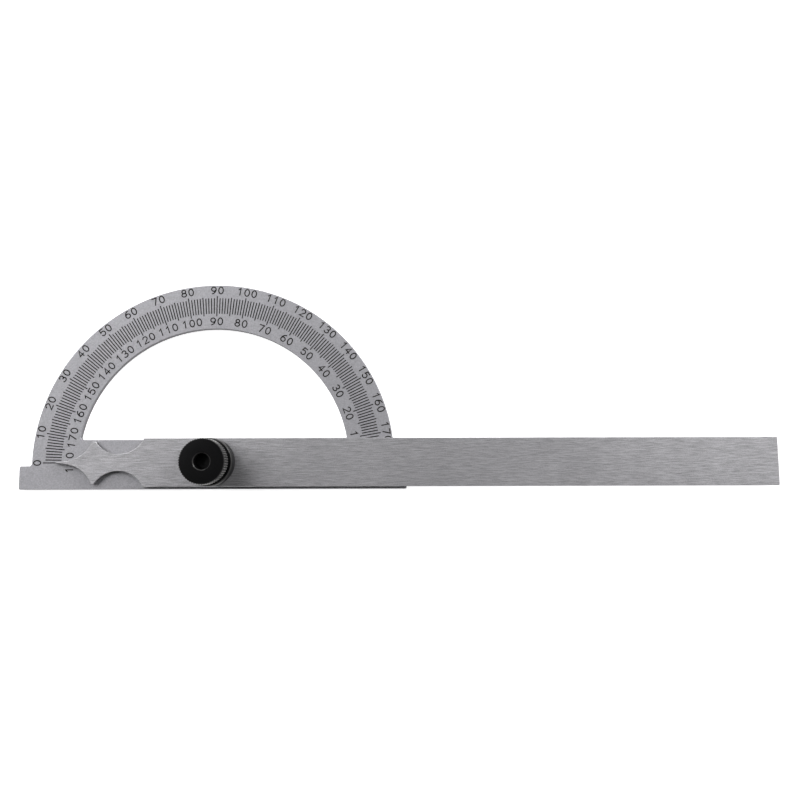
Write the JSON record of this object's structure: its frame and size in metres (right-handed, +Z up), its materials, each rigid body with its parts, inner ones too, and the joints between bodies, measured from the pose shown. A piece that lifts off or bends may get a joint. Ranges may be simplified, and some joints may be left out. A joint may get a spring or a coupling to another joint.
{
  "type": "bench protractor",
  "caption": "Half-circle protractor plate with a base bar and a long pointer blade that swings on a riveted stud and is clamped by a knurled nut.",
  "frame": {"origin": "pivot axis at the underside of the plate, which rests on the bench", "axes": "+X along the base towards the long end of the blade, +Y towards the 90 degree mark, +Z up towards the nut"},
  "size_m": [0.3132, 0.086, 0.0209],
  "materials": {
    "plate_steel": "satin, finely blasted, with dark etched marks",
    "blade_steel": "brushed along its length",
    "stud_steel": "turned, ground flush underneath",
    "washer_steel": "plain",
    "nut_black": "black oxide on turned and knurled steel"
  },
  "bodies": {
    "head": {"head_plate": "plate_steel", "pivot_stud": "stud_steel"},
    "blade": {"blade": "blade_steel"},
    "washer": {"clamp_washer": "washer_steel"},
    "nut": {"knurled_nut": "nut_black"}
  },
  "joints": [
    {"name": "blade_swing", "type": "hinge", "parent": "head", "child": "blade", "pos_m": [0, 0, 0.00305], "axis": [0, 0, -1], "continuous": true},
    {"name": "washer_lift", "type": "slide", "parent": "head", "child": "washer", "axis": [0, 0, 1], "range_m": [0, 0.0015]},
    {"name": "nut_turn", "type": "hinge", "parent": "washer", "child": "nut", "pos_m": [0, 0, 0.01289], "axis": [0, 0, 1], "range_deg": [0, 720]}
  ],
  "couplings": [
    {"joint": "nut_turn", "follows": "washer_lift", "rad_per_m": 8377.6}
  ]
}
